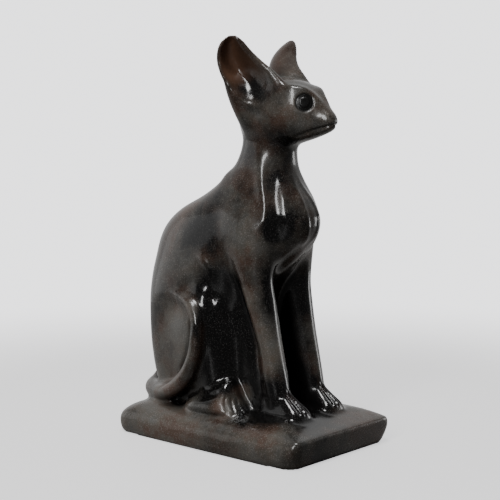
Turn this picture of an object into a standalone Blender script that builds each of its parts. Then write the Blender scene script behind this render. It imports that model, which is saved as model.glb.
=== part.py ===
"""A seated cat with tall ears, carved together with its plinth from one block of obsidian.

Metres, +Z up. The origin is the middle of the plinth's underside, and the cat faces -Y.
"""

import math

import bmesh
import bpy
import numpy as np
from mathutils import Matrix, Vector
from mathutils.bvhtree import BVHTree

# Driving dimensions, in metres: the plinth, then the figure from its seat to its ear tips.
PLINTH_LENGTH = 0.0918
PLINTH_WIDTH = 0.0600
PLINTH_CROWN = 0.0140
FRONT_EDGE_HEIGHT = 0.0100
FRONT_SLOPE_RUN = 0.0150
FRONT_LEAN = 0.0022
SIDE_WAIST_HEIGHT = 0.0048
SIDE_TUCK = 0.0014
SIDE_ROLL = 0.0190
SIDE_BOW = 0.0012
BACK_ROLL = 0.0240
FRONT_CORNER_FOOT = 0.0065
FRONT_CORNER_EDGE = 0.0026
BACK_CORNER = 0.0070
FIGURE_HEIGHT = 0.1357
FIGURE_SETBACK = 0.0009
FOOT_DEPTH = 0.0003

# The figure is drawn on a grid that is this many units tall. Every size below is on that grid.
GRID_HEIGHT = 135.7
UNIT = FIGURE_HEIGHT / GRID_HEIGHT

# How finely the stone is worked, and how far each polish softens it.
CORE_GRAIN = 1.0
FINE_GRAIN = 0.8
CORE_POLISH = 2.35
FINE_POLISH = 0.9
LAST_POLISH = 0.45
SMOOTH_FACTOR = 0.5
RING_POINTS = 48
FORM_ROWS = 60
EAR_ROWS = 40
EAR_SWEEP_POINTS = 26
PLINTH_ROWS = 36
CORNER_POINTS = 9
SIDE_POINTS = 20
FACES = 9600

# How square each form is in section: 2 is an ellipse, less is a lozenge and more is a box.
TORSO_SQUARENESS = 2.2
HEAD_SQUARENESS = 2.3
FORELEG_SQUARENESS = 2.1
SHANK_SQUARENESS = 1.4
WEB_SQUARENESS = 3.5
FOREPAW_SQUARENESS = 1.8
HINDPAW_SQUARENESS = 1.45
SIDE_ROLL_SQUARENESS = 2.4
WAIST_ROUNDING = 0.97

EAR_WALL = 1.5
EAR_FRONT_BULGE = 0.3
SCOOP_REACH = 9.0
SCOOP_OPEN = 116.0
SCOOP_CLOSED = 124.0
SCOOP_SPREAD = (2.4, -4.4)
SCOOP_DEEPEST = 0.3
EYE_CENTRE = (6.2, -31.9, 112.0)
EYE_FACING = (0.749, -0.6626, 0.1)
EYE_RINGS = (3.8, 2.3)
DETAIL_REACH = 6.5

# Rows of height, back, front, half width, and the share of the width that is lost in front.
TORSO = (
    (-4, 34, -8, 17, 0.30),
    (6, 38.5, -9, 19, 0.30),
    (16, 40.7, -10, 20, 0.30),
    (31, 42.3, -11.5, 20.2, 0.30),
    (40, 42.5, -13, 20, 0.28),
    (46, 42.5, -15.5, 19.5, 0.24),
    (50, 42.3, -18.5, 19.2, 0.20),
    (54, 41.8, -22.5, 18.8, 0.16),
    (58, 41.3, -26.5, 18.5, 0.13),
    (62, 40.2, -29.5, 18.1, 0.10),
    (66, 37.9, -31.4, 17.4, 0.08),
    (70, 33.8, -32.0, 16.5, 0.06),
    (73.5, 28.2, -30.8, 15.4, 0.05),
    (77, 20.4, -28.7, 14.1, 0.03),
    (83, 10.6, -24.2, 12.0, 0.0),
    (88, 4.6, -21.9, 10.3, 0.0),
    (95, 0.6, -21.2, 9.0, 0.0),
    (106, -0.6, -20.5, 8.6, 0.0),
)

# Rows of y, top, bottom, half width, and the share of the height above the widest line.
HEAD = (
    (-41.5, 106.4, 103.9, 1.6, 0.5),
    (-40.7, 107.8, 102.6, 2.8, 0.5),
    (-39, 109.4, 101.4, 3.5, 0.5),
    (-36.6, 111.5, 100.5, 4.1, 0.48),
    (-34, 113.9, 99.7, 5.5, 0.42),
    (-31, 117.3, 98.9, 7.6, 0.38),
    (-28, 119.0, 98.2, 9.2, 0.38),
    (-24, 120.4, 97.2, 10.6, 0.4),
    (-19, 121.3, 96.0, 11.4, 0.45),
    (-13, 121.2, 95.2, 11.4, 0.5),
    (-7, 119.2, 96, 10.2, 0.5),
    (-2, 115.5, 98.5, 7.6, 0.5),
    (1, 111, 102, 4.0, 0.5),
)

# Rows of height, x, y, half width and half depth, for the left one of each pair.
FORELEG = (
    (-2, 9.7, -24.5, 4.8, 5.2),
    (5, 9.8, -23.6, 4.6, 4.9),
    (12, 10.0, -22.1, 4.7, 5.0),
    (20, 10.2, -19.8, 5.0, 5.4),
    (29, 10.3, -17.2, 5.3, 6.0),
    (38, 10.3, -14.6, 5.8, 7.1),
    (46, 10.3, -12.6, 6.2, 8.1),
    (54, 10.3, -11.3, 7.2, 9.8),
    (62, 10.0, -9.5, 8.3, 12.5),
    (72, 9.0, -7, 8.0, 15),
    (80, 6.0, -3, 6.5, 11),
)
SHANK = (
    (-2, 15, 3, 5.6, 9),
    (10, 14.4, 3, 6.0, 8.4),
    (18, 14.2, 3, 6.6, 8.4),
    (27, 14.2, 4.5, 7.4, 8.2),
    (34, 14.2, 6.4, 7.7, 7.6),
    (40, 14.2, 8.8, 7.0, 6.2),
    (45, 13, 11, 4.8, 4.6),
)
WEB = (
    (-2, 8.2, -10.5, 4.4, 12),
    (10, 8.2, -9.5, 4.2, 11.5),
    (25, 8.2, -8, 4.2, 11),
    (40, 8.4, -6.5, 4.4, 10.5),
    (50, 8.8, -6, 5.0, 10),
)

# Centre and radii of the rounder masses.
HAUNCH = ((12.8, 16, 22.5), (9.7, 21, 25))
SHOULDER = ((4.8, 1.5, 80), (5.8, 7, 8.5))

# Rows of y, the crest's x and height, the outer edge's x and the inner edge's x.
FOREPAW = (
    (-36, 9.6, 1.6, 12.8, 6.4),
    (-34, 9.6, 3.3, 14.8, 4.3),
    (-31, 9.6, 5.6, 15.1, 4.2),
    (-27.5, 9.7, 8.6, 14.7, 4.7),
    (-23.5, 9.8, 11.0, 14.2, 5.2),
    (-18, 9.8, 10.5, 14.0, 5.6),
)
HINDPAW = (
    (-13.8, 16.2, 0.4, 19.4, 12.5),
    (-12.2, 16.0, 1.8, 22.0, 9.8),
    (-9.5, 15.6, 5.0, 24.0, 9.0),
    (-6.0, 16.0, 11.0, 25.0, 8.6),
    (-2.5, 17.6, 9.6, 25.6, 9.6),
    (2, 19.4, 6.9, 25.4, 11),
    (8, 20.6, 4.0, 24.8, 13),
    (13, 19, 2.0, 21.5, 15.5),
)
PAW_SOLE = 2.5

# Rows of height, the rear rim's x and y, the front rim's x and y, the lobe's depth and the hollow's.
EAR = (
    (110.0, 12.2, -12.6, 10.6, -20.4, 2.0, 0.2),
    (111.0, 13.2, -10.4, 10.2, -23.0, 4.0, 0.9),
    (112.6, 14.4, -8.6, 9.6, -24.6, 6.0, 2.3),
    (115, 15.9, -6.6, 8.8, -25.4, 7.8, 4.2),
    (118, 17.4, -4.7, 8.2, -24.8, 9.2, 5.8),
    (120.5, 18.2, -3.4, 8.0, -22.8, 9.8, 6.6),
    (122.9, 18.8, -2.5, 8.3, -20.2, 9.8, 6.8),
    (127, 19.4, -1.7, 10.4, -15.7, 8.5, 6.0),
    (131, 19.6, -2.1, 13.4, -12.7, 6.6, 4.6),
    (134, 19.2, -3.6, 15.3, -11.0, 4.2, 2.8),
    (136.1, 18.0, -6.0, 16.6, -8.8, 1.6, 0.6),
)

# Rows of x, y, z and radius: the fold behind the left ear, and the tail round the right haunch.
EAR_ROOT = (
    (15.8, -4.4, 121.5, 2.6),
    (13.2, -5.8, 116, 3.8),
    (10.4, -6.8, 110.5, 4.2),
    (7.6, -8.0, 104, 3.8),
)
TAIL = (
    (2, 36.5, 14, 4.0),
    (-2.5, 40.2, 7, 3.9),
    (-7, 41, 2.8, 3.6),
    (-13, 38.4, 1.6, 3.4),
    (-18.6, 28.9, 1.7, 3.3),
    (-21.6, 18.8, 4.9, 3.2),
    (-22.6, 11.2, 10.9, 3.0),
    (-22.6, 7.0, 18.4, 2.8),
    (-22.3, 5.6, 26.6, 2.7),
    (-21.8, 6.3, 32.9, 2.5),
    (-21.2, 10.1, 38.0, 2.2),
    (-20.3, 15.1, 40.0, 1.7),
    (-19.7, 20.0, 41.0, 1.2),
    (-18.7, 26.0, 41.8, 0.7),
)

# Strokes of the wheel: a path of x, y and z, a width, a height that is negative where it cuts,
# and the share of the path over which each end fades out.
NECK_REAR_RIDGE = (
    ((8.6, -11.8, 98), (10.0, -14.8, 86), (12.2, -18.4, 76), (13.4, -21.4, 67), (13.6, -23, 61)),
    2.3,
    1.1,
    0.35,
)
NECK_FRONT_RIDGE = (((4.8, -22.2, 91), (6.6, -22.6, 85), (8.2, -24.6, 78), (9.2, -27.0, 70)), 1.8, 0.5, 0.35)
NECK_FURROW = (((7.8, -17.4, 92), (8.8, -19.4, 83), (10.8, -22.0, 73), (12.2, -23.6, 65)), 2.2, -0.3, 0.3)
NECK_HOLLOW = (((11.6, -21.4, 69.5), (12.0, -22.4, 67), (12.0, -23.0, 64.5)), 3.2, -1.2, 0.3)
BROW = (
    ((2.0, -37.5, 111), (2.8, -34.3, 114.2), (4.8, -31, 116.6), (7.6, -27, 117.8), (9, -22, 118)),
    1.4,
    1.1,
    0.2,
)
CHEST_ARCH = (((7.2, -19, 43), (5.6, -23, 52), (3.0, -26.3, 58.5), (0, -28, 62)), 2.4, -0.8, 0.2)
SHANK_HOLLOW = (((18.5, -1.5, 36), (17.6, -3.0, 28), (16.8, -4.2, 19), (16, -5, 11)), 4.5, -1.3, 0.2)
KNEE_RIDGE = (((20.0, 9.4, 46.6), (19.4, 6.2, 45.2), (18.4, 3.6, 43.6)), 1.8, 0.9, 0.35)
KNEE_REAR_FACET = (((20.6, 4.4, 41.4), (20.4, 3.2, 38.6), (19.6, 1.4, 35.0)), 1.1, 0.6, 0.35)
KNEE_FRONT_FACET = (((17.0, 0.4, 41.0), (18.0, 0.6, 38.4), (19.0, 1.0, 35.0)), 1.0, 0.7, 0.35)
LEG_VALLEY = (
    ((14, -3, 58), (12.6, -8.5, 43), (12.2, -12.5, 33), (12, -15.8, 23), (12, -17.6, 13)),
    3.4,
    -2.6,
    0.3,
)
GROIN_FOLD = (((18.4, 7.5, 54.6), (18.4, 5.4, 53.2), (18.0, 2.4, 51.2)), 0.9, 0.6, 0.3)
FLANK_HOLLOW = (((21, 20, 8), (21, 22, 20), (21, 24, 34)), 9, -1.6, 0.2)
TAIL_SEAM = (
    ((23, 25, 4.6), (21.6, 17.6, 10), (21.4, 11.2, 18.7), (21.8, 8.9, 26.6), (21.4, 9.6, 33)),
    0.9,
    -1.1,
    0.2,
)
INSTEP_HOLLOW = (((22.6, 5, 4.2), (22.4, 0, 5.2), (21.2, -5, 6.2)), 2.2, -0.8, 0.2)
CORE_STROKES = (
    NECK_REAR_RIDGE,
    NECK_FRONT_RIDGE,
    NECK_FURROW,
    NECK_HOLLOW,
    BROW,
    CHEST_ARCH,
    SHANK_HOLLOW,
    KNEE_RIDGE,
    KNEE_REAR_FACET,
    KNEE_FRONT_FACET,
    GROIN_FOLD,
    LEG_VALLEY,
)
LIPS = (((0.2, -41.6, 104.6), (3.2, -38.5, 102.9), (5.0, -33, 101.2), (5.8, -27, 99.2)), 0.7, -0.7, 0.2)
EYE_GROOVE = (0.6, -0.8, 0)
FOREPAW_CLEFT = (0.62, -0.9, 0.2)
HINDPAW_CLEFT = (0.62, -0.6, 0.2)

# Clefts between toes: rows of x, y and z from the instep to the tips, and the step to the next cleft.
FOREPAW_CLEFTS = ((9.7, -27.5, 9.0, 2.0, 0), (9.7, -32, 5.5, 2.3, 0), (9.6, -36.3, 1.5, 2.6, 0))
HINDPAW_CLEFTS = ((19.4, -9.2, 5.6, 2.0, 1.4), (20.6, -10.8, 3.4, 2.3, 1.6), (21.4, -12.6, 0.4, 2.6, 1.8))


def clear_scene():
    for old in list(bpy.data.objects):
        bpy.data.objects.remove(old, do_unlink=True)


def eased(rows, count):
    """Rows read evenly off a smooth curve through the given ones, which rise in their first column."""
    rows = np.array(rows, float)
    key = rows[:, 0]
    slope = np.gradient(rows, key, axis=0)
    wanted = np.linspace(key[0], key[-1], count)
    i = np.clip(np.searchsorted(key, wanted, side="right") - 1, 0, len(key) - 2)
    span = (key[i + 1] - key[i])[:, None]
    t = (wanted - key[i])[:, None] / span
    start = (2 * t**3 - 3 * t**2 + 1) * rows[i] + (t**3 - 2 * t**2 + t) * span * slope[i]
    end = (3 * t**2 - 2 * t**3) * rows[i + 1] + (t**3 - t**2) * span * slope[i + 1]
    return start + end


def section(squareness):
    """Cosines and sines of a ring's points, for an ellipse that turns square as squareness passes 2."""
    turn = np.linspace(0, 2 * np.pi, RING_POINTS, endpoint=False)
    both = np.stack([np.cos(turn), np.sin(turn)])
    return np.sign(both) * np.abs(both) ** (2 / squareness)


def on_plinth(points):
    """Points on the figure's grid, in metres above the plinth's underside."""
    return np.asarray(points, float) * UNIT + np.array([0, FIGURE_SETBACK, PLINTH_CROWN])


def placed(name, bm):
    mesh = bpy.data.meshes.new(name)
    bm.to_mesh(mesh)
    bm.free()
    obj = bpy.data.objects.new(name, mesh)
    bpy.context.scene.collection.objects.link(obj)
    return obj


def loft(name, rings):
    """A closed skin over rings of points."""
    bm = bmesh.new()
    loops = [[bm.verts.new(point) for point in ring] for ring in rings]
    for low, high in zip(loops, loops[1:]):
        for a, b, c, d in zip(low, low[1:] + low[:1], high[1:] + high[:1], high):
            bm.faces.new((a, b, c, d))
    bm.faces.new(loops[0][::-1])
    bm.faces.new(loops[-1])
    bmesh.ops.recalc_face_normals(bm, faces=bm.faces)
    return placed(name, bm)


def ellipsoid(name, centre, radii):
    bm = bmesh.new()
    bmesh.ops.create_icosphere(bm, subdivisions=4, radius=UNIT)
    shape = Matrix.Translation(Vector(on_plinth(centre))) @ Matrix.Diagonal((*radii, 1))
    bmesh.ops.transform(bm, matrix=shape, verts=bm.verts)
    return placed(name, bm)


def tube(name, side, rows):
    """A round bar with round ends, along rows of x, y, z and radius."""
    rows = eased([(step, side * x, y, z, radius) for step, (x, y, z, radius) in enumerate(rows)], FORM_ROWS)
    centres, radii = rows[:, 1:4], rows[:, 4:5]
    ahead = np.gradient(centres, axis=0)
    ahead /= np.linalg.norm(ahead, axis=1)[:, None]
    across = np.cross(ahead, (0.31, 0.17, 0.93))
    across /= np.linalg.norm(across, axis=1)[:, None]
    above = np.cross(across, ahead)
    cosine, sine = section(2)
    rings = [
        centre + radius * (np.outer(cosine, a) + np.outer(sine, b))
        for centre, radius, a, b in zip(centres, radii, across, above)
    ]
    ends = [ellipsoid(name + "_end", centres[i], [radii[i, 0]] * 3) for i in (0, -1)]
    return [loft(name, on_plinth(rings)), *ends]


def torso():
    across, along = section(TORSO_SQUARENESS)
    front_share = np.sin(np.linspace(0, 2 * np.pi, RING_POINTS, endpoint=False))
    rings = []
    for height, back, front, half, lost in eased(TORSO, FORM_ROWS):
        x = half * across * (1 - lost * front_share)
        y = (back + front) / 2 - (back - front) / 2 * along
        rings.append(np.stack([x, y, np.full_like(x, height)], axis=1))
    return loft("torso", on_plinth(rings))


def head():
    across, above = section(HEAD_SQUARENESS)
    rings = []
    for y, top, bottom, half, share in eased(HEAD, FORM_ROWS):
        middle = top - (top - bottom) * share
        z = middle + np.where(above > 0, top - middle, middle - bottom) * above
        rings.append(np.stack([half * across, np.full_like(z, y), z], axis=1))
    return loft("head", on_plinth(rings))


def limb(name, side, rows, squareness):
    across, along = section(squareness)
    rings = [
        np.stack([side * (x + half * across), y + depth * along, np.full_like(along, height)], axis=1)
        for height, x, y, half, depth in eased(rows, FORM_ROWS)
    ]
    return loft(name, on_plinth(rings))


def paw(name, side, rows, squareness):
    """A foot sliced across: a crest, with a slope to its outer edge and one to its inner edge."""
    across, above = section(squareness)
    rings = []
    for y, crest, top, outer, inner in eased(rows, FORM_ROWS):
        x = crest + np.where(across > 0, outer - crest, crest - inner) * across
        z = np.where(above > 0, top, PAW_SOLE) * above
        rings.append(np.stack([side * x, np.full_like(x, y), z], axis=1))
    return loft(name, on_plinth(rings))


def ear(side):
    """Level slices of an ear: an arc behind the line from rim to rim, and a slight bulge in front of it."""
    sweep = np.linspace(0, np.pi, EAR_SWEEP_POINTS)
    rings = []
    for height, rear_x, rear_y, front_x, front_y, depth, _ in eased(EAR, EAR_ROWS):
        rear, front = np.array([side * rear_x, rear_y]), np.array([side * front_x, front_y])
        half = np.linalg.norm(front - rear) / 2
        along = (front - rear) / (2 * half)
        out = side * np.array([-along[1], along[0]])
        behind = [(rear + front) / 2 + half * math.cos(a) * along - depth * math.sin(a) * out for a in sweep]
        before = [
            (rear + front) / 2 - half * math.cos(a) * along + EAR_FRONT_BULGE * math.sin(a) * out
            for a in sweep[1:-1]
        ]
        rings.append([(x, y, height) for x, y in behind + before])
    return loft("ear", on_plinth(rings))


def scoop(side):
    """Level slices of the hollow in an ear, which reaches out through the opening.

    It is steep behind and rises gently to the front rim, and low down it fades out over the cheek.
    """
    sweep = np.linspace(0, 1, EAR_SWEEP_POINTS)
    fall = np.sin(np.pi / 2 * np.minimum(sweep / SCOOP_DEEPEST, 1)) ** 0.8
    rise = (1 + np.cos(np.pi * (sweep - SCOOP_DEEPEST) / (1 - SCOOP_DEEPEST))) / 2
    profile = np.where(sweep < SCOOP_DEEPEST, fall, rise)
    rings = []
    for height, rear_x, rear_y, front_x, front_y, _, depth in eased(EAR, EAR_ROWS):
        share = np.clip((SCOOP_CLOSED - height) / (SCOOP_CLOSED - SCOOP_OPEN), 0, 1)
        share *= share * (3 - 2 * share)
        rear = np.array([side * rear_x, rear_y])
        front = np.array([side * (front_x + share * SCOOP_SPREAD[0]), front_y + share * SCOOP_SPREAD[1]])
        length = np.linalg.norm(front - rear)
        along = (front - rear) / length
        out = side * np.array([-along[1], along[0]])
        first, last = EAR_WALL, length - EAR_WALL * (1 - share)
        steps = first + max(last - first, 0.3) * sweep
        behind = [rear + step * along - depth * deep * out for step, deep in zip(steps[::-1], profile[::-1])]
        before = [
            rear + step * along + SCOOP_REACH * math.sin(math.pi * part) * out
            for step, part in zip(steps[1:-1], sweep[1:-1])
        ]
        rings.append([(x, y, height) for x, y in behind + before])
    return loft("scoop", on_plinth(rings))


def plinth_ring(height):
    """The plinth's outline at a height, counted from its underside."""
    low = max(0.0, 1 - height / SIDE_WAIST_HEIGHT)
    high = max(0.0, (height - SIDE_WAIST_HEIGHT) / (PLINTH_CROWN - SIDE_WAIST_HEIGHT))
    climb = max(0.0, (height - FRONT_EDGE_HEIGHT) / (PLINTH_CROWN - FRONT_EDGE_HEIGHT))
    below_edge = max(0.0, 1 - height / FRONT_EDGE_HEIGHT)
    tuck = SIDE_TUCK * (1 - math.sqrt(1 - WAIST_ROUNDING * low**2))
    rolled = (1 - high**SIDE_ROLL_SQUARENESS) ** (1 / SIDE_ROLL_SQUARENESS)
    half = PLINTH_WIDTH / 2 - SIDE_BOW - tuck - SIDE_ROLL * (1 - rolled)
    back = PLINTH_LENGTH / 2 - tuck - BACK_ROLL * (1 - math.sqrt(1 - high**2))
    front = -PLINTH_LENGTH / 2 + FRONT_LEAN * below_edge**1.5 + FRONT_SLOPE_RUN * climb
    front_corner = FRONT_CORNER_EDGE + (FRONT_CORNER_FOOT - FRONT_CORNER_EDGE) * below_edge
    ring = np.array(rounded_rectangle(half, front, back, front_corner, BACK_CORNER))
    bow = SIDE_BOW * np.cos(np.clip(ring[:, 1] / PLINTH_LENGTH, -0.5, 0.5) * math.pi)
    ring[:, 0] *= 1 + bow / half
    return np.column_stack([ring, np.full(len(ring), height)])


def rounded_rectangle(half, front, back, front_corner, back_corner):
    behind, ahead = (back, back_corner), (front, front_corner)
    corners = ((1, *behind), (-1, *behind), (-1, *ahead), (1, *ahead))
    arcs = []
    for quarter, (side, end, corner) in enumerate(corners):
        corner = min(corner, 0.8 * half)
        x, y = side * (half - corner), end - math.copysign(corner, end)
        for angle in np.linspace(quarter, quarter + 1, CORNER_POINTS) * math.pi / 2:
            arcs.append(np.array([x + corner * math.cos(angle), y + corner * math.sin(angle)]))
    points = []
    for i, start in enumerate(arcs):
        end = arcs[(i + 1) % len(arcs)]
        steps = SIDE_POINTS if i % CORNER_POINTS == CORNER_POINTS - 1 else 1
        points += [start + (end - start) * k / steps for k in range(steps)]
    return points


def plinth():
    return loft("plinth", [plinth_ring(height) for height in np.linspace(0, PLINTH_CROWN, PLINTH_ROWS)])


def baked(obj):
    """The object with its modifiers turned into its mesh."""
    graph = bpy.context.evaluated_depsgraph_get()
    mesh = bpy.data.meshes.new_from_object(obj.evaluated_get(graph))
    obj.modifiers.clear()
    obj.data = mesh
    return obj


def fused(name, pieces, grain, polish):
    """One skin round overlapping pieces, with its edges and creases softened."""
    bm = bmesh.new()
    for piece in pieces:
        bm.from_mesh(piece.data)
        bpy.data.objects.remove(piece, do_unlink=True)
    body = placed(name, bm)
    remesh = body.modifiers.new("One skin", "REMESH")
    remesh.mode = "VOXEL"
    remesh.voxel_size = grain * UNIT
    smooth = body.modifiers.new("Polish", "SMOOTH")
    smooth.factor = SMOOTH_FACTOR
    smooth.iterations = round(2 * polish**2 / (SMOOTH_FACTOR * grain**2))
    return baked(body)


def cut(body, cutter):
    boolean = body.modifiers.new("Scoop", "BOOLEAN")
    boolean.operation = "DIFFERENCE"
    boolean.object = cutter
    baked(body)
    bpy.data.objects.remove(cutter, do_unlink=True)


def split_near(body, spots):
    """Halves the edges near some points, so that small carving has faces enough."""
    bm = bmesh.new()
    bm.from_mesh(body.data)
    centres = [Vector(spot) for spot in on_plinth(spots)]
    reach = DETAIL_REACH * UNIT
    near = [e for e in bm.edges if any((e.verts[0].co - centre).length < reach for centre in centres)]
    bmesh.ops.subdivide_edges(bm, edges=near, cuts=1, use_grid_fill=True)
    bmesh.ops.triangulate(bm, faces=[face for face in bm.faces if len(face.verts) > 4])
    bm.to_mesh(body.data)
    bm.free()


def stroke(body, side, path, width, height, fade):
    """Raises or cuts the surface along a path laid on it, with soft edges and ends that fade out."""
    mesh = body.data
    points = np.empty(len(mesh.vertices) * 3, np.float32)
    normals = np.empty(len(mesh.vertices) * 3, np.float32)
    mesh.vertices.foreach_get("co", points)
    mesh.vertices.foreach_get("normal", normals)
    points, normals = points.reshape(-1, 3), normals.reshape(-1, 3)
    rows = eased([(step, side * x, y, z) for step, (x, y, z) in enumerate(path)], FORM_ROWS)
    surface = BVHTree.FromPolygons([*map(Vector, points)], [p.vertices for p in mesh.polygons])
    depth = np.zeros(len(points))
    for share, point in zip(np.linspace(0, 1, len(rows)), on_plinth(rows[:, 1:])):
        spot = surface.find_nearest(Vector(point))[0]
        strength = min(1, (min(share, 1 - share) + 0.02) / fade) if fade else 1
        gap = np.linalg.norm(points - np.array(spot), axis=1) / (width * UNIT)
        depth = np.maximum(depth, strength * np.exp(-(gap**2)))
    mesh.vertices.foreach_set("co", (points + normals * (height * UNIT * depth)[:, None]).ravel())
    mesh.update()


def eye_ring(radius):
    centre, facing = Vector(EYE_CENTRE), Vector(EYE_FACING).normalized()
    right = facing.cross((0, 0, 1)).normalized()
    above = right.cross(facing)
    turn = np.linspace(0, 2 * np.pi, 25)
    return [centre + radius * (math.cos(a) * right + math.sin(a) * above) for a in turn]


def carve_small_forms(body):
    spots = [EYE_CENTRE, FOREPAW_CLEFTS[1][:3], HINDPAW_CLEFTS[1][:3]]
    split_near(body, [(side * x, y, z) for x, y, z in spots for side in (-1, 1)])
    stroke(body, -1, *TAIL_SEAM)
    for side in (-1, 1):
        stroke(body, side, *LIPS)
        stroke(body, side, *INSTEP_HOLLOW)
        for radius in EYE_RINGS:
            stroke(body, side, eye_ring(radius), *EYE_GROOVE)
        for rows, cleft in ((FOREPAW_CLEFTS, FOREPAW_CLEFT), (HINDPAW_CLEFTS, HINDPAW_CLEFT)):
            for place in (-1, 0, 1):
                path = [(x + place * dx, y + place * dy, z) for x, y, z, dx, dy in rows]
                stroke(body, side, path, *cleft)


def core():
    """The torso, head, limbs and haunches as one smooth mass."""
    pieces = [torso(), head()]
    for side in (-1, 1):
        pieces.append(limb("foreleg", side, FORELEG, FORELEG_SQUARENESS))
        pieces.append(limb("shank", side, SHANK, SHANK_SQUARENESS))
        pieces.append(limb("web", side, WEB, WEB_SQUARENESS))
        for name, ((x, y, z), radii) in (("haunch", HAUNCH), ("shoulder", SHOULDER)):
            pieces.append(ellipsoid(name, (side * x, y, z), radii))
        pieces += tube("ear_root", side, EAR_ROOT)
    mass = fused("core", pieces, CORE_GRAIN, CORE_POLISH)
    for side in (-1, 1):
        for form in CORE_STROKES:
            stroke(mass, side, *form)
    stroke(mass, -1, *FLANK_HOLLOW)
    return mass


def carved_cat():
    pieces = [core(), plinth(), *tube("tail", 1, TAIL)]
    for side in (-1, 1):
        pieces.append(ear(side))
        pieces.append(paw("forepaw", side, FOREPAW, FOREPAW_SQUARENESS))
        pieces.append(paw("hindpaw", side, HINDPAW, HINDPAW_SQUARENESS))
    body = fused("cat", pieces, FINE_GRAIN, FINE_POLISH)
    for side in (-1, 1):
        cut(body, scoop(side))
    body = fused("obsidian_cat", [body], FINE_GRAIN, LAST_POLISH)
    carve_small_forms(body)
    return body


def flatten_underside(body):
    for vertex in body.data.vertices:
        if vertex.co.z < FOOT_DEPTH:
            vertex.co.z = 0


def obsidian():
    material = bpy.data.materials.new("obsidian")
    material.use_nodes = True
    shader = material.node_tree.nodes["Principled BSDF"]
    shader.inputs["Base Color"].default_value = (0.022, 0.019, 0.017, 1)
    shader.inputs["Roughness"].default_value = 0.15
    shader.inputs["IOR"].default_value = 1.5
    return material


def main():
    clear_scene()
    body = carved_cat()
    flatten_underside(body)
    body.data.materials.append(obsidian())
    fewer = body.modifiers.new("Fewer faces", "DECIMATE")
    fewer.ratio = FACES / sum(len(face.vertices) - 2 for face in body.data.polygons)
    body.data.shade_smooth()


main()
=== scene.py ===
"""A seated cat with tall ears, carved together with its plinth from one block of obsidian.

The stone is carved here again from the same forms as the solid, in a finer grain and with its
small carving, then given its polish. Metres, +Z up, and the cat faces -Y.
"""

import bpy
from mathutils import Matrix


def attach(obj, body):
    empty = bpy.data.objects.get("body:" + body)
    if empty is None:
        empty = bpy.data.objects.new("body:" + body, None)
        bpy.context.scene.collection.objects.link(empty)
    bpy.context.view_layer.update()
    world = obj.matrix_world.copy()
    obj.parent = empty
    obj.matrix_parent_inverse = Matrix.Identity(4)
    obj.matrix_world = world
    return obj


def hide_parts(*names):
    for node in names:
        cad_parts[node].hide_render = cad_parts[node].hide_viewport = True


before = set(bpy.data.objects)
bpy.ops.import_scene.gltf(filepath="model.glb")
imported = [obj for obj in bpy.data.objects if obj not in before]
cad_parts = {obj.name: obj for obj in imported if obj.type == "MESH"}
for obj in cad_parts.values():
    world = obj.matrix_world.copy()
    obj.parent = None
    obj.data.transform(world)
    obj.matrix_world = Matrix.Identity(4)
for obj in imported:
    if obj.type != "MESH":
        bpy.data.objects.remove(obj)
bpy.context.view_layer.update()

import math

import bmesh
import bpy
import numpy as np
from mathutils import Matrix, Vector
from mathutils.bvhtree import BVHTree

# The plinth, then the figure from its seat to its ear tips. Stone nearer the underside than
# FOOT_DEPTH is laid flat on it.
PLINTH_LENGTH = 0.0918
PLINTH_WIDTH = 0.0600
PLINTH_CROWN = 0.0140
FRONT_EDGE_HEIGHT = 0.0100
FRONT_SLOPE_RUN = 0.0150
FRONT_LEAN = 0.0022
SIDE_WAIST_HEIGHT = 0.0048
SIDE_TUCK = 0.0014
SIDE_ROLL = 0.0190
SIDE_BOW = 0.0012
BACK_ROLL = 0.0240
FRONT_CORNER_FOOT = 0.0065
FRONT_CORNER_EDGE = 0.0026
BACK_CORNER = 0.0070
FIGURE_HEIGHT = 0.1357
FIGURE_SETBACK = 0.0009
FOOT_DEPTH = 0.0003

# How near the curve under the plinth's waist comes to a quarter circle, how the front curves back to
# its foot, and the most of the half width that a corner may take.
WAIST_ROUNDING = 0.97
FRONT_LEAN_CURVE = 1.5
CORNER_LIMIT = 0.8

# The figure is drawn on a grid that is this many units tall. The sizes from here on are on that
# grid, down to the patina and its painted shade.
GRID_HEIGHT = 135.7
UNIT = FIGURE_HEIGHT / GRID_HEIGHT

# How finely the stone is worked, and how far each polish softens it.
CORE_GRAIN = 0.8
FINE_GRAIN = 0.71
CORE_POLISH = 2.35
FINE_POLISH = 0.9
LAST_POLISH = 0.45
SMOOTH_FACTOR = 0.5

# How many slices each form has, and how many points a slice or a line has.
TORSO_SLICES = 110
HEAD_SLICES = 90
LIMB_SLICES = 80
PAW_SLICES = 50
TUBE_SLICES = 90
EAR_SLICES = 70
PLINTH_SLICES = 60
RING_POINTS = 64
EAR_POINTS = 40
SCOOP_POINTS = 44
CORNER_POINTS = 13
SIDE_POINTS = 40
STROKE_POINTS = 70
EYE_RING_POINTS = 25
FLOOR_POINTS = 128
BALL_ROUNDS = 4
RING_ANGLES = np.linspace(0, 2 * np.pi, RING_POINTS, endpoint=False)

# How square each form is in section: 2 is an ellipse, less is a lozenge and more is a box.
TORSO_SQUARENESS = 2.2
HEAD_SQUARENESS = 2.3
FORELEG_SQUARENESS = 2.1
SHANK_SQUARENESS = 1.4
WEB_SQUARENESS = 3.5
FOREPAW_SQUARENESS = 1.8
HINDPAW_SQUARENESS = 1.45
SIDE_ROLL_SQUARENESS = 2.4

# The ears, and the scoop that hollows each one. Below the height SCOOP_CLOSED it starts to spread
# over the cheek, and at SCOOP_OPEN it has its full spread.
EAR_WALL = 1.5
EAR_FRONT_BULGE = 0.3
SCOOP_REACH = 9.0
SCOOP_OPEN = 116.0
SCOOP_CLOSED = 124.0
SCOOP_SPREAD = (2.4, -4.4)
SCOOP_DEEPEST = 0.3
SCOOP_STEEPNESS = 0.8
SCOOP_NARROWEST = 0.3

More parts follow.
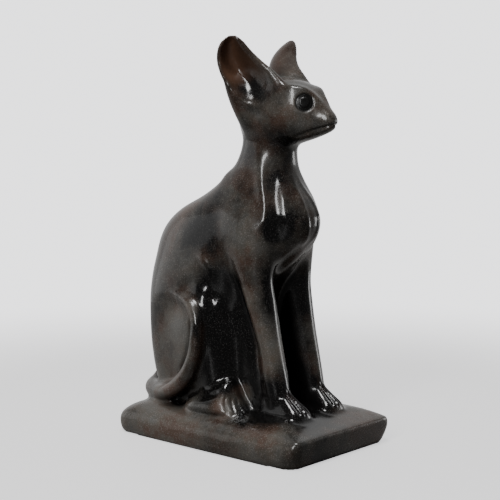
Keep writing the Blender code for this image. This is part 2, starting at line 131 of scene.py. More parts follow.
# The left eye, and the two rings that are cut round it, by their radii.
EYE_CENTRE = (6.2, -31.9, 112.0)
EYE_FACING = (0.749, -0.6626, 0.1)
EYE_RIM = 3.0
PUPIL = 2.15

# Rows of height, back, front, half width, and the share of the width that is lost in front.
TORSO = (
    (-4, 34, -8, 17, 0.30),
    (6, 38.5, -9, 19, 0.30),
    (16, 40.7, -10, 20, 0.30),
    (31, 42.3, -11.5, 20.2, 0.30),
    (40, 42.5, -13, 20, 0.28),
    (46, 42.5, -15.5, 19.5, 0.24),
    (50, 42.3, -18.5, 19.2, 0.20),
    (54, 41.8, -22.5, 18.8, 0.16),
    (58, 41.3, -26.5, 18.5, 0.13),
    (62, 40.2, -29.5, 18.1, 0.10),
    (66, 37.9, -31.4, 17.4, 0.08),
    (70, 33.8, -32.0, 16.5, 0.06),
    (73.5, 28.2, -30.8, 15.4, 0.05),
    (77, 20.4, -28.7, 14.1, 0.03),
    (83, 10.6, -24.2, 12.0, 0.0),
    (88, 4.6, -21.9, 10.3, 0.0),
    (95, 0.6, -21.2, 9.0, 0.0),
    (106, -0.6, -20.5, 8.6, 0.0),
)

# Rows of y, top, bottom, half width, and the share of the height above the widest line.
HEAD = (
    (-41.5, 106.4, 103.9, 1.6, 0.5),
    (-40.7, 107.8, 102.6, 2.8, 0.5),
    (-39, 109.4, 101.4, 3.5, 0.5),
    (-36.6, 111.5, 100.5, 4.1, 0.48),
    (-34, 113.9, 99.7, 5.5, 0.42),
    (-31, 117.3, 98.9, 7.6, 0.38),
    (-28, 119.0, 98.2, 9.2, 0.38),
    (-24, 120.4, 97.2, 10.6, 0.4),
    (-19, 121.3, 96.0, 11.4, 0.45),
    (-13, 121.2, 95.2, 11.4, 0.5),
    (-7, 119.2, 96, 10.2, 0.5),
    (-2, 115.5, 98.5, 7.6, 0.5),
    (1, 111, 102, 4.0, 0.5),
)

# Rows of height, x, y, half width and half depth, for the left one of each pair.
FORELEG = (
    (-2, 9.7, -24.5, 4.8, 5.2),
    (5, 9.8, -23.6, 4.6, 4.9),
    (12, 10.0, -22.1, 4.7, 5.0),
    (20, 10.2, -19.8, 5.0, 5.4),
    (29, 10.3, -17.2, 5.3, 6.0),
    (38, 10.3, -14.6, 5.8, 7.1),
    (46, 10.3, -12.6, 6.2, 8.1),
    (54, 10.3, -11.3, 7.2, 9.8),
    (62, 10.0, -9.5, 8.3, 12.5),
    (72, 9.0, -7, 8.0, 15),
    (80, 6.0, -3, 6.5, 11),
)
SHANK = (
    (-2, 15, 3, 5.6, 9),
    (10, 14.4, 3, 6.0, 8.4),
    (18, 14.2, 3, 6.6, 8.4),
    (27, 14.2, 4.5, 7.4, 8.2),
    (34, 14.2, 6.4, 7.7, 7.6),
    (40, 14.2, 8.8, 7.0, 6.2),
    (45, 13, 11, 4.8, 4.6),
)
WEB = (
    (-2, 8.2, -10.5, 4.4, 12),
    (10, 8.2, -9.5, 4.2, 11.5),
    (25, 8.2, -8, 4.2, 11),
    (40, 8.4, -6.5, 4.4, 10.5),
    (50, 8.8, -6, 5.0, 10),
)

# Centre and radii of the rounder masses.
HAUNCH = ((12.8, 16, 22.5), (9.7, 21, 25))
SHOULDER = ((4.8, 1.5, 80), (5.8, 7, 8.5))

# Rows of y, the crest's x and height, the outer edge's x and the inner edge's x.
FOREPAW = (
    (-36, 9.6, 1.6, 12.8, 6.4),
    (-34, 9.6, 3.3, 14.8, 4.3),
    (-31, 9.6, 5.6, 15.1, 4.2),
    (-27.5, 9.7, 8.6, 14.7, 4.7),
    (-23.5, 9.8, 11.0, 14.2, 5.2),
    (-18, 9.8, 10.5, 14.0, 5.6),
)
HINDPAW = (
    (-13.8, 16.2, 0.4, 19.4, 12.5),
    (-12.2, 16.0, 1.8, 22.0, 9.8),
    (-9.5, 15.6, 5.0, 24.0, 9.0),
    (-6.0, 16.0, 11.0, 25.0, 8.6),
    (-2.5, 17.6, 9.6, 25.6, 9.6),
    (2, 19.4, 6.9, 25.4, 11),
    (8, 20.6, 4.0, 24.8, 13),
    (13, 19, 2.0, 21.5, 15.5),
)
PAW_SOLE = 2.5

# Rows of height, the rear rim's x and y, the front rim's x and y, the lobe's depth and the hollow's.
EAR = (
    (110.0, 12.2, -12.6, 10.6, -20.4, 2.0, 0.2),
    (111.0, 13.2, -10.4, 10.2, -23.0, 4.0, 0.9),
    (112.6, 14.4, -8.6, 9.6, -24.6, 6.0, 2.3),
    (115, 15.9, -6.6, 8.8, -25.4, 7.8, 4.2),
    (118, 17.4, -4.7, 8.2, -24.8, 9.2, 5.8),
    (120.5, 18.2, -3.4, 8.0, -22.8, 9.8, 6.6),
    (122.9, 18.8, -2.5, 8.3, -20.2, 9.8, 6.8),
    (127, 19.4, -1.7, 10.4, -15.7, 8.5, 6.0),
    (131, 19.6, -2.1, 13.4, -12.7, 6.6, 4.6),
    (134, 19.2, -3.6, 15.3, -11.0, 4.2, 2.8),
    (136.1, 18.0, -6.0, 16.6, -8.8, 1.6, 0.6),
)

# Rows of x, y, z and radius: the fold behind the left ear, and the tail round the right haunch.
# Neither runs along TUBE_TURN, from which their round sections are turned.
EAR_ROOT = (
    (15.8, -4.4, 121.5, 2.6),
    (13.2, -5.8, 116, 3.8),
    (10.4, -6.8, 110.5, 4.2),
    (7.6, -8.0, 104, 3.8),
)
TAIL = (
    (2, 36.5, 14, 4.0),
    (-2.5, 40.2, 7, 3.9),
    (-7, 41, 2.8, 3.6),
    (-13, 38.4, 1.6, 3.4),
    (-18.6, 28.9, 1.7, 3.3),
    (-21.6, 18.8, 4.9, 3.2),
    (-22.6, 11.2, 10.9, 3.0),
    (-22.6, 7.0, 18.4, 2.8),
    (-22.3, 5.6, 26.6, 2.7),
    (-21.8, 6.3, 32.9, 2.5),
    (-21.2, 10.1, 38.0, 2.2),
    (-20.3, 15.1, 40.0, 1.7),
    (-19.7, 20.0, 41.0, 1.2),
    (-18.7, 26.0, 41.8, 0.7),
)
TUBE_TURN = (0.31, 0.17, 0.93)

# Broad strokes of the wheel: a path of x, y and z, a width, a height that is negative where it cuts,
# and the share of the path over which each end fades out. They are on both sides, apart from the
# hollow of the flank and the seam of the tail, which are on the right one.
NECK_REAR_RIDGE = (
    ((8.6, -11.8, 98), (10.0, -14.8, 86), (12.2, -18.4, 76), (13.4, -21.4, 67), (13.6, -23, 61)),
    2.3,
    1.1,
    0.35,
)
NECK_FRONT_RIDGE = (
    ((4.8, -22.2, 91), (6.6, -22.6, 85), (8.2, -24.6, 78), (9.2, -27.0, 70)),
    1.5,
    0.55,
    0.35,
)
NECK_FURROW = (((7.8, -17.4, 92), (8.8, -19.4, 83), (10.8, -22.0, 73), (12.2, -23.6, 65)), 2.2, -0.3, 0.3)
NECK_HOLLOW = (((11.6, -21.4, 69.5), (12.0, -22.4, 67), (12.0, -23.0, 64.5)), 3.2, -1.2, 0.3)
BROW = (
    ((2.0, -37.5, 111), (2.8, -34.3, 114.2), (4.8, -31, 116.6), (7.6, -27, 117.8), (9, -22, 118)),
    1.4,
    1.1,
    0.2,
)
CHEST_ARCH = (((7.2, -19, 43), (5.6, -23, 52), (3.0, -26.3, 58.5), (0, -28, 62)), 2.4, -0.8, 0.2)
SHANK_HOLLOW = (((18.5, -1.5, 36), (17.6, -3.0, 28), (16.8, -4.2, 19), (16, -5, 11)), 4.5, -1.3, 0.2)
KNEE_RIDGE = (((20.2, 9.4, 44.8), (19.4, 6.2, 43.2), (18.4, 3.6, 41.8)), 2.6, 1.1, 0.35)
KNEE_REAR_FACET = (((20.6, 5.0, 40.0), (20.2, 3.4, 37.6), (19.6, 1.8, 35.2)), 1.6, 0.7, 0.35)
KNEE_FRONT_FACET = (((17.0, -0.4, 41.0), (17.8, -0.4, 38.4), (18.8, 0.4, 35.2)), 1.8, 0.9, 0.35)
LEG_VALLEY = (
    ((14, -3, 58), (12.6, -8.5, 43), (12.2, -12.5, 33), (12, -15.8, 23), (12, -17.6, 13)),
    3.4,
    -2.6,
    0.3,
)
GROIN_FOLD = (((18.6, 8.2, 56.6), (18.4, 5.4, 54.0), (18.0, 2.6, 50.8)), 1.5, 1.15, 0.35)
FLANK_HOLLOW = (((21, 20, 8), (21, 22, 20), (21, 24, 34)), 9, -1.6, 0.2)
TAIL_SEAM = (
    ((23, 25, 4.6), (21.6, 17.6, 10), (21.4, 11.2, 18.7), (21.8, 8.9, 26.6), (21.4, 9.6, 33)),
    0.9,
    -1.1,
    0.2,
)
INSTEP_HOLLOW = (((22.6, 5, 4.2), (22.4, 0, 5.2), (21.2, -5, 6.2)), 2.2, -0.8, 0.2)
CORE_STROKES = (
    NECK_REAR_RIDGE,
    NECK_FRONT_RIDGE,
    NECK_FURROW,
    NECK_HOLLOW,
    BROW,
    CHEST_ARCH,
    SHANK_HOLLOW,
    KNEE_RIDGE,
    KNEE_REAR_FACET,
    KNEE_FRONT_FACET,
    GROIN_FOLD,
    LEG_VALLEY,
)

# A stroke is felt up to STROKE_MARGIN widths away. Its ends fade out as if they were STROKE_START
# of the path further along it.
STROKE_MARGIN = 2.5
STROKE_START = 0.02

# Where the ears' hollows are smoothed again: rows of x, y, z and reach, on both sides.
SOFT_SPOTS = ((9.6, -20.0, 114.5, 6.0), (9.4, -10.0, 121.0, 6.0))
SOFT_ROUNDS = 40

# Fine strokes. The grooves and clefts have a width, a height and a fade, and take their paths from the
# rings of the eyes and from the rows between the toes.
LIPS = (((0.2, -41.6, 104.6), (3.2, -38.5, 102.9), (5.0, -33, 101.2), (5.8, -27, 99.2)), 0.55, -0.8, 0.2)
NOSTRIL = (((2.2, -40.4, 107.4), (2.0, -41.0, 106.6), (1.2, -41.3, 106.2)), 0.35, -0.5, 0.2)
EYE_RIM_GROOVE = (0.5, -0.28, 0)
PUPIL_GROOVE = (0.35, -0.2, 0)
SHIN_EDGE = (((6.9, -20.2, 39.8), (6.9, -22.3, 28), (6.9, -24.4, 18), (6.9, -26.3, 9.6)), 0.8, 0.3, 0.2)
FOREPAW_CLEFT = (0.5, -0.9, 0.2)
HINDPAW_CLEFT = (0.45, -0.3, 0.2)
CHEST_RIDGE = (
    ((1.6, -24.6, 88), (3.0, -28.4, 79), (3.4, -31.2, 71), (2.4, -30.8, 64), (1.4, -27.6, 59)),
    0.8,
    0.5,
    0.3,
)
FINE_STROKES = (LIPS, NOSTRIL, INSTEP_HOLLOW, SHIN_EDGE, CHEST_RIDGE)

# Clefts between toes: rows of x, y and z from the instep to the tips, and the step to the next cleft.
FOREPAW_CLEFTS = ((9.7, -27.5, 9.0, 2.0, 0), (9.7, -32, 5.5, 2.3, 0), (9.6, -36.3, 1.5, 2.6, 0))
HINDPAW_CLEFTS = ((19.4, -9.2, 5.6, 2.0, 1.4), (20.6, -10.8, 3.4, 2.3, 1.6), (21.4, -12.6, 0.4, 2.6, 1.8))

# Where the stone is worked finer for small carving: the eye, the mouth and the toes.
DETAIL_SPOTS = (EYE_CENTRE, (2, -39, 105), (9.7, -32, 5.5), (20.5, -10, 4))
DETAIL_REACH = 6.5

# How worn the polish is, from black and whole at 0 to brown satin at 1: the level all over, and rows
# of x, y, z, reach and the amount more or less there, on both sides. The rows are patina and painted
# light together: the dark rows paint shade into the hollows between the haunches and forelegs,
# between the paws, under the jaw, in the chest and ears and on the plinth before the paws, and some
# bright rows paint light on the tail band and the cheek.
PATINA_BASE = 0.46
PATINA_AND_SHADE_LIMITS = (-0.2, 1.2)
PATINA_AND_SHADE = (
    (9.6, -6.5, 122, 4.5, -0.5),
    (11.0, -15.5, 115, 5, -0.15),
    (24, -2, 95, 16, -0.3),
    (16.6, -2.0, 44, 7, -0.9),
    (16.2, -2.4, 36, 9, -1.1),
    (15.6, -3.4, 26, 10, -1.2),
    (14.3, -4.6, 15, 10, -1.1),
    (11.1, -22, 67, 5, -0.9),
    (4.0, -27, 70, 7, -0.25),
    (17, -21, 0, 10, -1.1),
    (4.6, -24, 0, 12, -0.6),
    (22.0, -8.5, 3, 4.5, 1.0),
    (13.6, -9.5, 6, 4.5, 1.6),
    (8.5, -21, 42, 10, -0.5),
    (7.6, -23, 100, 6, -0.4),
    (8.5, -19, 84, 6, -0.3),
    (19, -3, 5, 7, -0.6),
    (9, -9, 117, 6, -0.4),
    (15.9, -12.6, 41, 5, 1.1),
    (15.3, -15.0, 31, 5, 1.1),
    (14.8, -18.5, 20, 6, 1.0),
    (17, -14, 63, 8, 0.3),
    (18.2, 7, 62, 10, -0.25),
    (15, 15, 72, 11, -0.12),
    (16, 33, 32, 9, -0.3),
    (9, -7, 96, 7, -0.15),
    (9.5, -24, 106, 6, 0.4),
    (22.6, 8, 19, 6, 0.4),
    (21.6, 18.8, 5, 7, 0.4),
    (21.6, 8, 36, 5, 0.7),
    (22.4, 10, 22, 5, 0.7),
    (23, 20, 30, 9, 0.4),
    (30, -23, -6, 14, 0.6),
    (30, 16, -7, 18, 0.6),
)

# Stone thinner than THIN_STONE is painted with a brown glow, as if light came through it. From here
# on sizes are in metres, and rounds say how often a measure is evened out over the surface.
THIN_STONE = 0.007
THICKEST_READ = 0.030
THIN_ROUNDS = 12

# How many ways out of each point are tried to see how open it is, how far each is followed, and how
# far off the surface it starts.
SKY_RAYS = 10
SKY_REACH = 0.045
SKY_ROUNDS = 6
RAY_START = 0.0002

# The eye is darker than the rest of the stone, to a little past its rim. Both are on the grid.
EYE_DARK_RADIUS = EYE_RIM + 0.65
EYE_DARK_EDGE = 0.5

# The stone's colours, and what each ramp turns into grey: rows of an input and an output.
BLACK_STONE = (0.0024, 0.0022, 0.0022)
EYE_STONE = (0.0035, 0.0032, 0.003)
# THIN_GLOW is painted light: a brown glow for light that would come through thin stone.
THIN_GLOW = (0.13, 0.068, 0.042)
POLISHED_SPECKS = (0.08, 0.077, 0.074)
WORN_SPECKS = (0.30, 0.28, 0.26)
WORN_TINTS = ((0.40, (0.078, 0.074, 0.066)), (0.49, (0.082, 0.070, 0.057)), (0.58, (0.072, 0.043, 0.030)))
CLOUDS = ((0.32, 0.0), (0.68, 1.0))
CLOUD_SHARE = 0.42
SPREAD_TO_WEAR_AND_SHADE = ((0.28, 0.0), (0.70, 1.0))
# Painted shade: the less open a point is, the more its colour stays black.
OPEN_TO_UNSHADED = ((0.35, 0.0), (0.92, 1.0))
SPECKS = ((0.54, 0.0), (0.70, 0.42))
THIN_TO_GLOW = ((0.0, 0.0), (0.85, 0.9))
OPEN_TO_GLOW = ((0.6, 1.0), (0.95, 0.25))
OPEN_TO_ROUGHNESS = ((0.45, 0.27), (0.85, 0.13))
OPEN_TO_COAT = ((0.45, 0.06), (0.85, 0.3))
WORN_ROUGHNESS = 0.36
EYE_COAT = 0.03
COAT_ROUGHNESS = 0.06
COAT_IOR = 1.5
STONE_IOR = 1.40

# The noises on the stone: cycles in a metre, how many finer layers, and how strong those are.
CLOUD_NOISE = (48, 7, 0.68)
TINT_NOISE = (60, 5, 0.62)
SPECK_NOISE = (2600, 2, 0.5)
BUMP_NOISE = (1500, 3, 0.6)
BUMP_STRENGTH = 0.10
BUMP_DEPTH = 0.0002

# The room: the backdrop's colour, the way to the dark side, and how the light falls from the bright
# side at 0 to the dark side at 1.
BACKDROP = (2.4, 2.4, 2.45)
DARK_SIDE = (-0.749, -0.663, 0)
ROOM = ((0.0, 1.0), (0.3, 0.7), (0.52, 0.2), (0.80, 0.11))
ROOM_LIGHT = 0.75

# The floor as the camera sees it, and as the stone mirrors it on the bright and the dark side. It
# fades into the backdrop between two shares of its radius, and has some backdrop in it all over.
FLOOR_RADIUS = 0.40
FLOOR_COLOUR = (0.80, 0.79, 0.78)
FLOOR_ROUGHNESS = 0.5
BRIGHT_FLOOR = (0.45, 0.44, 0.43)
DARK_FLOOR = (0.05, 0.05, 0.05)
DARK_FLOOR_EDGE = (-0.04, 0.06)
FLOOR_FADE = (0.35, 0.95)
FLOOR_FADE_START = 0.4

# The lamps. Each has a name, an azimuth clockwise from ahead of the cat and an elevation in degrees, a
# distance from LAMP_TARGET, a width and a height in metres, and its watts.
LAMPS = (
    ("window", 75, 27, 0.9, 0.13, 0.5, 4.2),
    ("overhead", 62, 70, 0.8, 0.22, 0.22, 4.0),
    ("back_sky", 150, 8, 1.0, 0.9, 0.5, 0.9),
    ("edge_strip", -61, 0, 0.9, 0.20, 0.35, 1.0),
)
LAMP_TARGET = (0, 0, 0.08)

# The camera's place in metres, how far its look is turned from +Y towards +X in degrees, how far it
# falls in each metre ahead, and the lens and the sensor in millimetres.
CAMERA_PLACE = (-0.33696, -0.29806, 0.1163)
CAMERA_TURN = 48.5
CAMERA_FALL = 0.1
CAMERA_NEAR = 0.01
LENS = 86.4
SENSOR_WIDTH = 36


def eased(rows, count):
    """Rows read evenly off a smooth curve through the given ones, which rise in their first column."""
    rows = np.array(rows, float)
    key = rows[:, 0]
    slope = np.gradient(rows, key, axis=0)
    wanted = np.linspace(key[0], key[-1], count)
    i = np.clip(np.searchsorted(key, wanted, side="right") - 1, 0, len(key) - 2)
    span = (key[i + 1] - key[i])[:, None]
    t = (wanted - key[i])[:, None] / span
    start = (2 * t**3 - 3 * t**2 + 1) * rows[i] + (t**3 - 2 * t**2 + t) * span * slope[i]
    end = (3 * t**2 - 2 * t**3) * rows[i + 1] + (t**3 - t**2) * span * slope[i + 1]
    return start + end


def section(squareness):
    """Cosines and sines of a ring's points, for an ellipse that turns square as squareness passes 2."""
    both = np.stack([np.cos(RING_ANGLES), np.sin(RING_ANGLES)])
    return np.sign(both) * np.abs(both) ** (2 / squareness)


def on_plinth(points):
    """Points on the figure's grid, in metres above the plinth's underside."""
    return np.asarray(points, float) * UNIT + np.array([0, FIGURE_SETBACK, PLINTH_CROWN])


def placed(name, bm):
    mesh = bpy.data.meshes.new(name)
    bm.to_mesh(mesh)
    bm.free()
    obj = bpy.data.objects.new(name, mesh)
    bpy.context.scene.collection.objects.link(obj)
    return obj


def loft(name, rings):
    """A closed skin over rings of points."""
    bm = bmesh.new()
    loops = [[bm.verts.new(point) for point in ring] for ring in rings]
    for low, high in zip(loops, loops[1:]):
        for a, b, c, d in zip(low, low[1:] + low[:1], high[1:] + high[:1], high):
            bm.faces.new((a, b, c, d))
    bm.faces.new(loops[0][::-1])
    bm.faces.new(loops[-1])
    bmesh.ops.recalc_face_normals(bm, faces=bm.faces)
    return placed(name, bm)


def ellipsoid(name, centre, radii):
    bm = bmesh.new()
    bmesh.ops.create_icosphere(bm, subdivisions=BALL_ROUNDS, radius=UNIT)
    shape = Matrix.Translation(Vector(on_plinth(centre))) @ Matrix.Diagonal((*radii, 1))
    bmesh.ops.transform(bm, matrix=shape, verts=bm.verts)
    return placed(name, bm)


def tube(name, side, rows):
    """A round bar with round ends, along rows of x, y, z and radius."""
    steps = [(step, side * x, y, z, radius) for step, (x, y, z, radius) in enumerate(rows)]
    rows = eased(steps, TUBE_SLICES)
    centres, radii = rows[:, 1:4], rows[:, 4:5]
    ahead = np.gradient(centres, axis=0)
    ahead /= np.linalg.norm(ahead, axis=1)[:, None]
    across = np.cross(ahead, TUBE_TURN)
    across /= np.linalg.norm(across, axis=1)[:, None]
    above = np.cross(across, ahead)
    cosine, sine = section(2)
    rings = [
        centre + radius * (np.outer(cosine, a) + np.outer(sine, b))
        for centre, radius, a, b in zip(centres, radii, across, above)
    ]
    ends = [ellipsoid(name + "_end", centres[i], [radii[i, 0]] * 3) for i in (0, -1)]
    return [loft(name, on_plinth(rings)), *ends]


def torso():
    across, along = section(TORSO_SQUARENESS)
    rings = []
    for height, back, front, half, lost in eased(TORSO, TORSO_SLICES):
        x = half * across * (1 - lost * np.sin(RING_ANGLES))
        y = (back + front) / 2 - (back - front) / 2 * along
        rings.append(np.stack([x, y, np.full_like(x, height)], axis=1))
    return loft("torso", on_plinth(rings))


def head():
    across, above = section(HEAD_SQUARENESS)
    rings = []
    for y, top, bottom, half, share in eased(HEAD, HEAD_SLICES):
        middle = top - (top - bottom) * share
        z = middle + np.where(above > 0, top - middle, middle - bottom) * above
        rings.append(np.stack([half * across, np.full_like(z, y), z], axis=1))
    return loft("head", on_plinth(rings))


def limb(name, side, rows, squareness):
    across, along = section(squareness)
    rings = [
        np.stack([side * (x + half * across), y + depth * along, np.full_like(along, height)], axis=1)
        for height, x, y, half, depth in eased(rows, LIMB_SLICES)
    ]
    return loft(name, on_plinth(rings))


def paw(name, side, rows, squareness):
    """A foot sliced across: a crest, with a slope to its outer edge and one to its inner edge."""
    across, above = section(squareness)
    rings = []
    for y, crest, top, outer, inner in eased(rows, PAW_SLICES):
        x = crest + np.where(across > 0, outer - crest, crest - inner) * across
        z = np.where(above > 0, top, PAW_SOLE) * above
        rings.append(np.stack([side * x, np.full_like(x, y), z], axis=1))
    return loft(name, on_plinth(rings))


def ear(side):
    """Level slices of an ear: an arc behind the line from rim to rim, and a slight bulge before it."""
    sweep = np.linspace(0, np.pi, EAR_POINTS)
    rings = []
    for height, rear_x, rear_y, front_x, front_y, depth, _ in eased(EAR, EAR_SLICES):
        rear, front = np.array([side * rear_x, rear_y]), np.array([side * front_x, front_y])
        half = np.linalg.norm(front - rear) / 2
        along = (front - rear) / (2 * half)
        out = side * np.array([-along[1], along[0]])
        middle = (rear + front) / 2
        behind = [middle + half * math.cos(a) * along - depth * math.sin(a) * out for a in sweep]
        before = [
            middle - half * math.cos(a) * along + EAR_FRONT_BULGE * math.sin(a) * out for a in sweep[1:-1]
        ]
        rings.append([(x, y, height) for x, y in behind + before])
    return loft("ear", on_plinth(rings))


def scoop(side):
    """Level slices of the hollow in an ear, which reaches out through the opening.

    It is steep behind and rises gently to the front rim, and low down it fades out over the cheek.
    """
    sweep = np.linspace(0, 1, SCOOP_POINTS)
    fall = np.sin(np.pi / 2 * np.minimum(sweep / SCOOP_DEEPEST, 1)) ** SCOOP_STEEPNESS
    rise = (1 + np.cos(np.pi * (sweep - SCOOP_DEEPEST) / (1 - SCOOP_DEEPEST))) / 2
    profile = np.where(sweep < SCOOP_DEEPEST, fall, rise)
    rings = []
    for height, rear_x, rear_y, front_x, front_y, _, depth in eased(EAR, EAR_SLICES):
        share = np.clip((SCOOP_CLOSED - height) / (SCOOP_CLOSED - SCOOP_OPEN), 0, 1)
        share *= share * (3 - 2 * share)
        rear = np.array([side * rear_x, rear_y])
        front = np.array([side * (front_x + share * SCOOP_SPREAD[0]), front_y + share * SCOOP_SPREAD[1]])
        length = np.linalg.norm(front - rear)
        along = (front - rear) / length
        out = side * np.array([-along[1], along[0]])
        first, last = EAR_WALL, length - EAR_WALL * (1 - share)
        steps = first + max(last - first, SCOOP_NARROWEST) * sweep
        behind = [rear + step * along - depth * deep * out for step, deep in zip(steps, profile)][::-1]
        before = [
            rear + step * along + SCOOP_REACH * math.sin(math.pi * part) * out
            for step, part in zip(steps[1:-1], sweep[1:-1])
        ]
        rings.append([(x, y, height) for x, y in behind + before])
    return loft("scoop", on_plinth(rings))


def plinth_ring(height):
    """The plinth's outline at a height, counted from its underside."""
    low = max(0.0, 1 - height / SIDE_WAIST_HEIGHT)
    high = max(0.0, (height - SIDE_WAIST_HEIGHT) / (PLINTH_CROWN - SIDE_WAIST_HEIGHT))
    climb = max(0.0, (height - FRONT_EDGE_HEIGHT) / (PLINTH_CROWN - FRONT_EDGE_HEIGHT))
    below_edge = max(0.0, 1 - height / FRONT_EDGE_HEIGHT)
    tuck = SIDE_TUCK * (1 - math.sqrt(1 - WAIST_ROUNDING * low**2))
    rolled = (1 - high**SIDE_ROLL_SQUARENESS) ** (1 / SIDE_ROLL_SQUARENESS)
    half = PLINTH_WIDTH / 2 - SIDE_BOW - tuck - SIDE_ROLL * (1 - rolled)
    back = PLINTH_LENGTH / 2 - tuck - BACK_ROLL * (1 - math.sqrt(1 - high**2))
    front = -PLINTH_LENGTH / 2 + FRONT_LEAN * below_edge**FRONT_LEAN_CURVE + FRONT_SLOPE_RUN * climb
    front_corner = FRONT_CORNER_EDGE + (FRONT_CORNER_FOOT - FRONT_CORNER_EDGE) * below_edge
    ring = np.array(rounded_rectangle(half, front, back, front_corner, BACK_CORNER))
    bow = SIDE_BOW * np.cos(np.clip(ring[:, 1] / PLINTH_LENGTH, -0.5, 0.5) * math.pi)
    ring[:, 0] *= 1 + bow / half
    return np.column_stack([ring, np.full(len(ring), height)])


def rounded_rectangle(half, front, back, front_corner, back_corner):
    """The points round a rectangle whose two front and two back corners have their own radii."""
    behind, ahead = (back, back_corner), (front, front_corner)
    corners = ((1, *behind), (-1, *behind), (-1, *ahead), (1, *ahead))
    arcs = []
    for quarter, (side, end, corner) in enumerate(corners):
        corner = min(corner, CORNER_LIMIT * half)
        x, y = side * (half - corner), end - math.copysign(corner, end)
        for angle in np.linspace(quarter, quarter + 1, CORNER_POINTS) * math.pi / 2:
            arcs.append(np.array([x + corner * math.cos(angle), y + corner * math.sin(angle)]))
    points = []
    for i, start in enumerate(arcs):
        end = arcs[(i + 1) % len(arcs)]
        steps = SIDE_POINTS if i % CORNER_POINTS == CORNER_POINTS - 1 else 1
        points += [start + (end - start) * k / steps for k in range(steps)]
    return points


def plinth():
    return loft("plinth", [plinth_ring(height) for height in np.linspace(0, PLINTH_CROWN, PLINTH_SLICES)])


def baked(obj):
    """The object with its modifiers turned into its mesh."""
    graph = bpy.context.evaluated_depsgraph_get()
    mesh = bpy.data.meshes.new_from_object(obj.evaluated_get(graph))
    obj.modifiers.clear()
    obj.data = mesh
    return obj


def fused(name, pieces, grain, polish):
    """One skin round overlapping pieces, with its edges and creases softened."""
    bm = bmesh.new()
    for piece in pieces:
        bm.from_mesh(piece.data)
        bpy.data.objects.remove(piece, do_unlink=True)
    body = placed(name, bm)
    remesh = body.modifiers.new("One skin", "REMESH")
    remesh.mode = "VOXEL"
    remesh.voxel_size = grain * UNIT
    smooth = body.modifiers.new("Polish", "SMOOTH")
    smooth.factor = SMOOTH_FACTOR
    smooth.iterations = round(2 * polish**2 / (SMOOTH_FACTOR * grain**2))
    return baked(body)


def cut(body, cutter):
    boolean = body.modifiers.new("Scoop", "BOOLEAN")
    boolean.operation = "DIFFERENCE"
    boolean.object = cutter
    baked(body)
    bpy.data.objects.remove(cutter, do_unlink=True)


def split_near(body, spots):
    """Halves the edges near some points, so that small carving has faces enough."""
    bm = bmesh.new()
    bm.from_mesh(body.data)
    centres = [Vector(spot) for spot in on_plinth(spots)]
    reach = DETAIL_REACH * UNIT
    near = [e for e in bm.edges if any((e.verts[0].co - centre).length < reach for centre in centres)]
    bmesh.ops.subdivide_edges(bm, edges=near, cuts=1, use_grid_fill=True)
    bmesh.ops.triangulate(bm, faces=[face for face in bm.faces if len(face.verts) > 4])
    bm.to_mesh(body.data)
    bm.free()


def vertex_arrays(mesh):
    points = np.empty(len(mesh.vertices) * 3, np.float32)
    normals = np.empty(len(mesh.vertices) * 3, np.float32)
    mesh.vertices.foreach_get("co", points)
    mesh.vertices.foreach_get("normal", normals)
    return points.reshape(-1, 3), normals.reshape(-1, 3)


def edge_array(mesh):
    edges = np.empty(len(mesh.edges) * 2, np.int32)
    mesh.edges.foreach_get("vertices", edges)
    return edges.reshape(-1, 2)


def surface_of(mesh):
    return BVHTree.FromPolygons([v.co.copy() for v in mesh.vertices], [p.vertices for p in mesh.polygons])


def averaged(values, edges, rounds):
    """Values at vertices, evened out over their neighbours."""
    count = np.bincount(edges.ravel(), minlength=len(values))
    for _ in range(rounds):
        total = np.bincount(edges[:, 0], values[edges[:, 1]], len(values))
        total += np.bincount(edges[:, 1], values[edges[:, 0]], len(values))
        values = (values + total / np.maximum(count, 1)) / 2
    return values


def gaps_to(points, spot):
    """The distances from points to a spot and to its mirror image, on the figure's grid."""
    x, y, z = spot
    return [np.linalg.norm(points - on_plinth((side * x, y, z)), axis=1) / UNIT for side in (-1, 1)]


def soften(body, spots):
    """Rounds off the carving near some spots, given as x, y, z and reach on both sides."""
    mesh = body.data
    points, _ = vertex_arrays(mesh)
    edges = edge_array(mesh)
    columns = [averaged(points[:, axis].astype(float), edges, SOFT_ROUNDS) for axis in range(3)]
    smooth = np.stack(columns, axis=1)
    share = np.zeros(len(points))
    for *spot, reach in spots:
        for gap in gaps_to(points, spot):
            share = np.maximum(share, np.exp(-((gap / reach) ** 4)))
    mesh.vertices.foreach_set("co", (points + (smooth - points) * share[:, None]).ravel())
    mesh.update()


def stroke(body, surface, side, path, width, height, fade):
    """Raises or cuts the surface along a path laid on it, with soft edges and ends that fade out."""
    mesh = body.data
    points, normals = vertex_arrays(mesh)
    rows = eased([(step, side * x, y, z) for step, (x, y, z) in enumerate(path)], STROKE_POINTS)
    line = np.array([surface.find_nearest(Vector(point))[0] for point in on_plinth(rows[:, 1:])])
    margin = STROKE_MARGIN * width * UNIT
    inside = ((points > line.min(axis=0) - margin) & (points < line.max(axis=0) + margin)).all(axis=1)
    near = points[inside]
    depth = np.zeros(len(near))
    for share, spot in zip(np.linspace(0, 1, len(line)), line):
        strength = min(1, (min(share, 1 - share) + STROKE_START) / fade) if fade else 1
        gap = np.linalg.norm(near - spot, axis=1) / (width * UNIT)
        depth = np.maximum(depth, strength * np.exp(-(gap**2)))
    points[inside] = near + normals[inside] * (height * UNIT * depth)[:, None]
    mesh.vertices.foreach_set("co", points.ravel())
    mesh.update()


def eye_ring(radius):
    """A circle of points round the left eye."""
    centre, facing = Vector(EYE_CENTRE), Vector(EYE_FACING).normalized()
    right = facing.cross((0, 0, 1)).normalized()
    above = right.cross(facing)
    turn = np.linspace(0, 2 * np.pi, EYE_RING_POINTS)
    return [centre + radius * (math.cos(a) * right + math.sin(a) * above) for a in turn]


